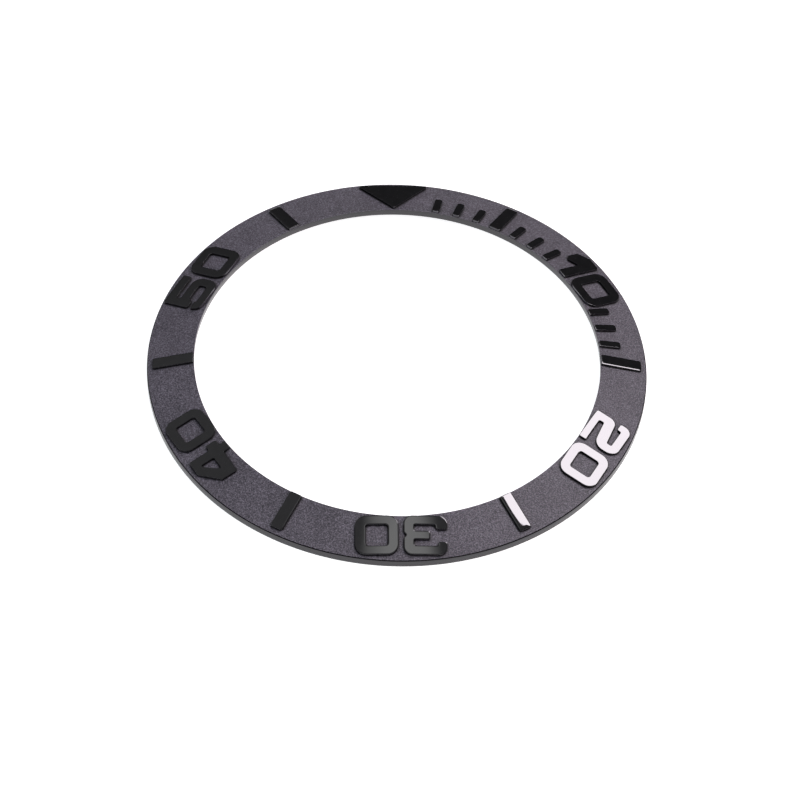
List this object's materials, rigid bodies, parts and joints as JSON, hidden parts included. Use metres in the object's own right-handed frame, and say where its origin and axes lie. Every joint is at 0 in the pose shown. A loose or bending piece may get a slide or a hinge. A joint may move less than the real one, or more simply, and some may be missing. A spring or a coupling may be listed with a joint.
{
  "type": "watch bezel insert",
  "caption": "Sloping ceramic bezel insert ring for a dive watch, with a raised polished sixty-minute scale: triangle, bars, numerals and minute ticks seated in its face.",
  "frame": {"origin": "centre of the ring, on the plane of the flat land that it rests on", "axes": "+Z along the ring's axis towards the face, +Y towards the triangle at the zero mark, +X towards the fifteen minute bar; minutes run clockwise seen from +Z"},
  "size_m": [0.038, 0.038, 0.0018],
  "materials": {
    "blasted_ceramic": "matt",
    "polished_ceramic": "gloss"
  },
  "bodies": {
    "root": {"ring": "blasted_ceramic", "triangle_marker": "polished_ceramic", "bar_05": "polished_ceramic", "bar_15": "polished_ceramic", "bar_25": "polished_ceramic", "bar_35": "polished_ceramic", "bar_45": "polished_ceramic", "bar_55": "polished_ceramic", "tick_02": "polished_ceramic", "tick_03": "polished_ceramic", "tick_04": "polished_ceramic", "tick_06": "polished_ceramic", "tick_07": "polished_ceramic", "tick_08": "polished_ceramic", "tick_12": "polished_ceramic", "tick_13": "polished_ceramic", "tick_14": "polished_ceramic", "digit_10_one": "polished_ceramic", "digit_10_zero": "polished_ceramic", "digit_20_two": "polished_ceramic", "digit_20_zero": "polished_ceramic", "digit_30_three": "polished_ceramic", "digit_30_zero": "polished_ceramic", "digit_40_four": "polished_ceramic", "digit_40_zero": "polished_ceramic", "digit_50_five": "polished_ceramic", "digit_50_zero": "polished_ceramic"}
  },
  "joints": []
}
